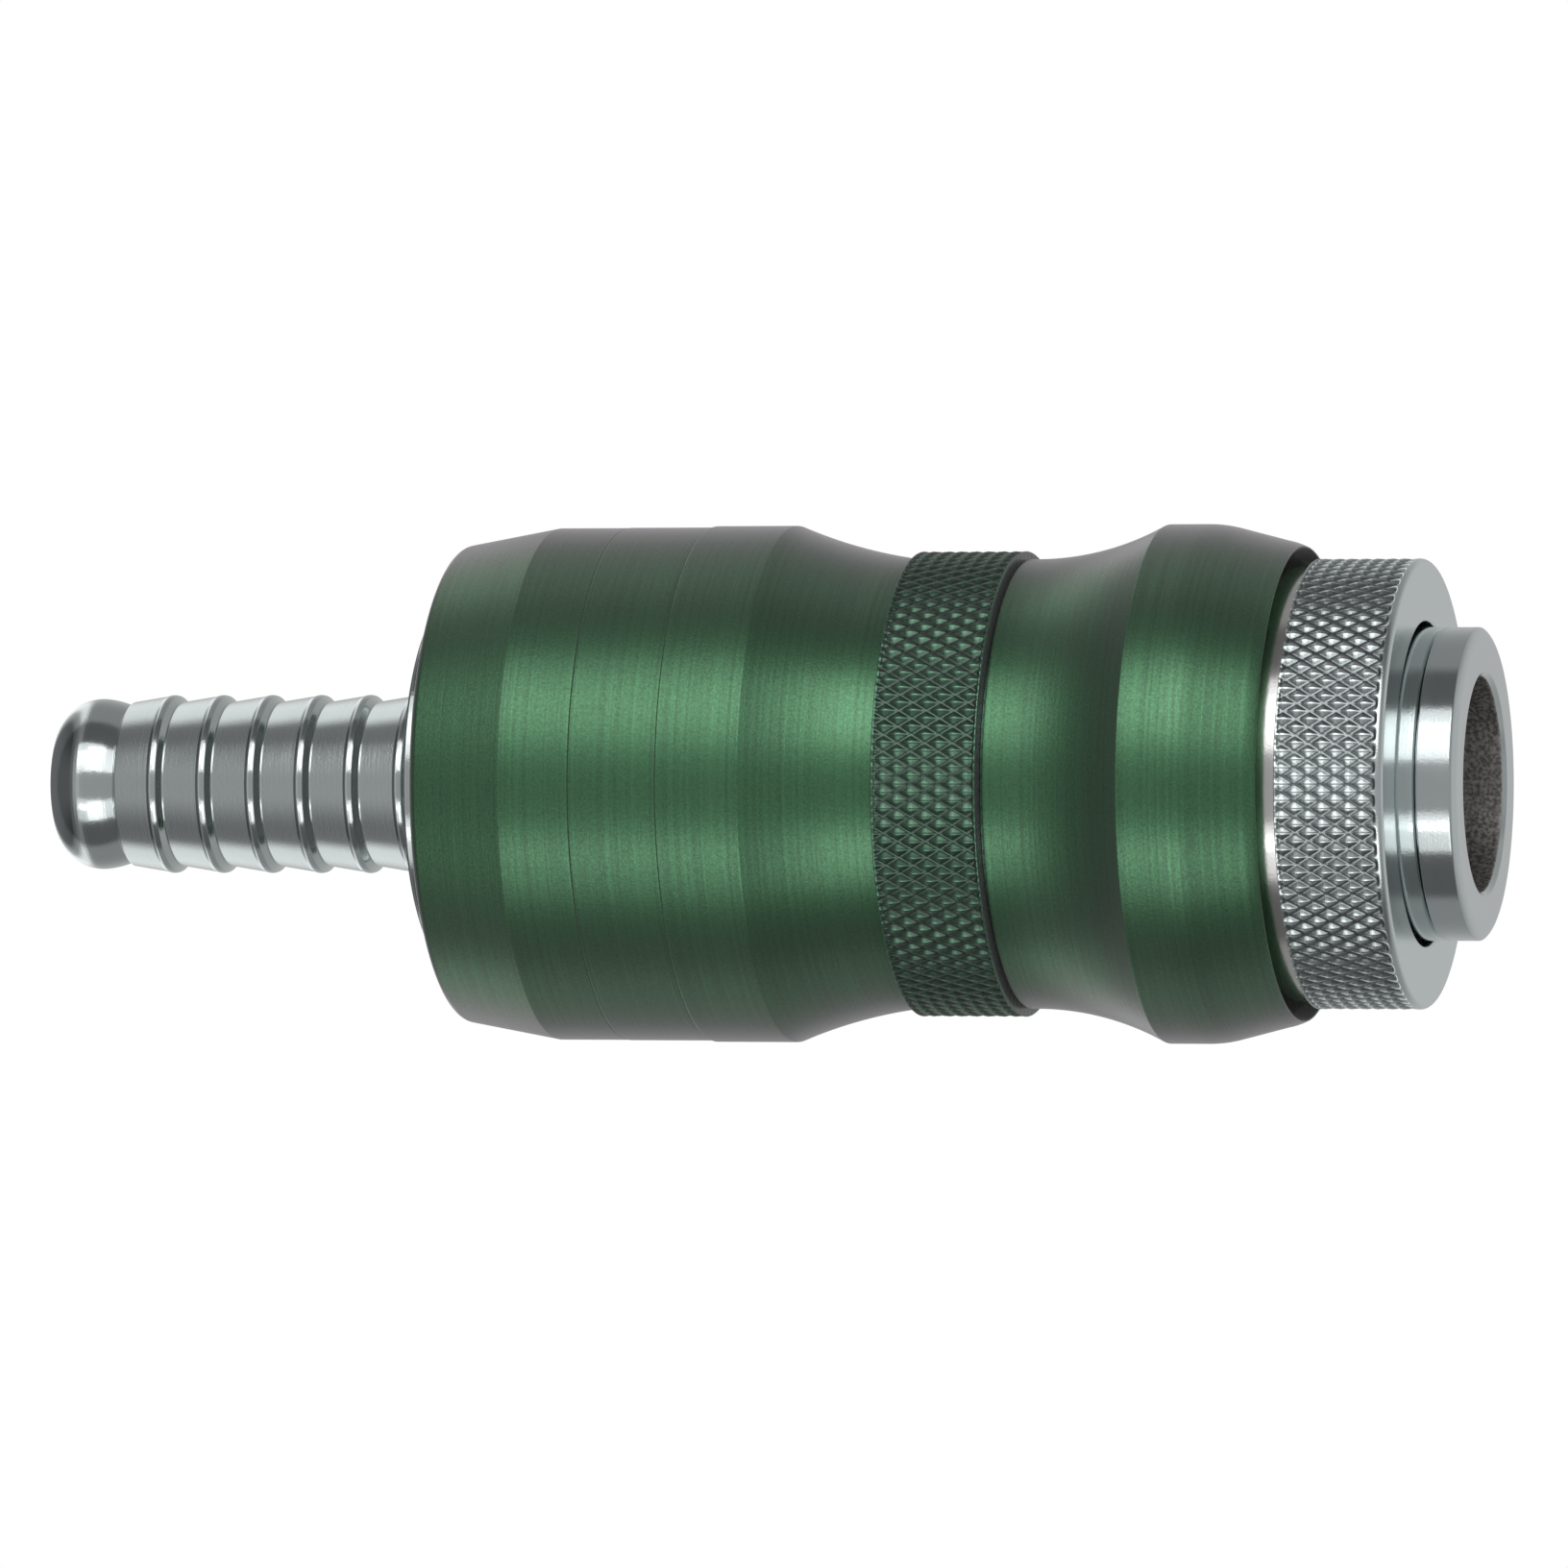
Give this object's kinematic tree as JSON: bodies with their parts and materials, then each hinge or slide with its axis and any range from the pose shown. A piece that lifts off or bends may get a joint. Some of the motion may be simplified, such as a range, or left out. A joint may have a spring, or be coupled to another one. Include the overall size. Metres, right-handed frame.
{
  "type": "quick coupling",
  "caption": "Quick coupling for a hose: knurled release sleeve with a ball lock at the nose, shut-off valve, green turned shells, lock ring and a swivelling barbed hose tail.",
  "frame": {"origin": "centre of the nose's front face, on which it stands", "axes": "+Z along the axis from the nose, where the plug goes in, to the hose tail; the lock pin is on the +X side"},
  "size_m": [0.0406, 0.0406, 0.1152],
  "materials": {
    "green_anodised": "fine-turned and green anodised, satin",
    "green_knurl": "diamond knurled and green anodised",
    "nickel": "turned and nickel plated, bright",
    "steel": "stainless steel, knurled and matt",
    "spring_steel": "drawn spring wire",
    "brass": "turned brass",
    "rubber": "moulded nitrile rubber",
    "bearing_plastic": "white bearing plastic"
  },
  "bodies": {
    "housing": {"nose_ring": "nickel", "socket_body": "nickel", "socket_seal": "rubber", "front_shell": "green_anodised", "lock_pin": "steel", "mid_shell": "green_anodised", "spacer_ring": "green_anodised", "rear_cap": "green_anodised", "swivel_body": "nickel", "body_seal": "rubber", "spring_seat": "brass", "spring_seat_clip": "spring_steel", "swivel_clip": "spring_steel", "thrust_washer_front": "bearing_plastic", "sleeve_spring": "spring_steel", "valve_spring": "spring_steel"},
    "sleeve": {"release_sleeve": "steel", "sleeve_stop_ring": "spring_steel"},
    "ball_1": {"lock_ball_1": "steel"},
    "ball_2": {"lock_ball_2": "steel"},
    "ball_3": {"lock_ball_3": "steel"},
    "ball_4": {"lock_ball_4": "steel"},
    "ball_5": {"lock_ball_5": "steel"},
    "ball_6": {"lock_ball_6": "steel"},
    "poppet": {"valve_poppet": "brass", "valve_seal": "rubber"},
    "lock_ring_body": {"lock_ring": "green_knurl"},
    "hose_end": {"hose_tail": "nickel", "tail_collar": "nickel", "tail_seal": "rubber", "dust_seal": "rubber", "thrust_washer_rear": "bearing_plastic"}
  },
  "joints": [
    {"name": "sleeve_slide", "type": "slide", "parent": "housing", "child": "sleeve", "axis": [0, 0, 1], "range_m": [0, 0.005], "stiffness_N_per_m": 2500, "springref_m": -0.004, "deforming": ["sleeve_spring"]},
    {"name": "ball_1_slide", "type": "slide", "parent": "housing", "child": "ball_1", "axis": [1, 0, 0], "range_m": [0, 0.00125]},
    {"name": "ball_2_slide", "type": "slide", "parent": "housing", "child": "ball_2", "axis": [0.5, 0.866, 0], "range_m": [0, 0.00125]},
    {"name": "ball_3_slide", "type": "slide", "parent": "housing", "child": "ball_3", "axis": [-0.5, 0.866, 0], "range_m": [0, 0.00125]},
    {"name": "ball_4_slide", "type": "slide", "parent": "housing", "child": "ball_4", "axis": [-1, 0, 0], "range_m": [0, 0.00125]},
    {"name": "ball_5_slide", "type": "slide", "parent": "housing", "child": "ball_5", "axis": [-0.5, -0.866, 0], "range_m": [0, 0.00125]},
    {"name": "ball_6_slide", "type": "slide", "parent": "housing", "child": "ball_6", "axis": [0.5, -0.866, 0], "range_m": [0, 0.00125]},
    {"name": "poppet_slide", "type": "slide", "parent": "housing", "child": "poppet", "axis": [0, 0, 1], "range_m": [0, 0.004], "stiffness_N_per_m": 1200, "springref_m": -0.004, "deforming": ["valve_spring"]},
    {"name": "lock_ring_turn", "type": "hinge", "parent": "housing", "child": "lock_ring_body", "pos_m": [0, 0, 0.0408], "axis": [0, 0, 1], "range_deg": [0, 90]},
    {"name": "hose_swivel", "type": "hinge", "parent": "housing", "child": "hose_end", "pos_m": [0, 0, 0.076], "axis": [0, 0, 1], "continuous": true}
  ],
  "couplings": [
    {"joint": "ball_1_slide", "follows": "sleeve_slide", "ratio": 0.25},
    {"joint": "ball_2_slide", "follows": "sleeve_slide", "ratio": 0.25},
    {"joint": "ball_3_slide", "follows": "sleeve_slide", "ratio": 0.25},
    {"joint": "ball_4_slide", "follows": "sleeve_slide", "ratio": 0.25},
    {"joint": "ball_5_slide", "follows": "sleeve_slide", "ratio": 0.25},
    {"joint": "ball_6_slide", "follows": "sleeve_slide", "ratio": 0.25}
  ]
}
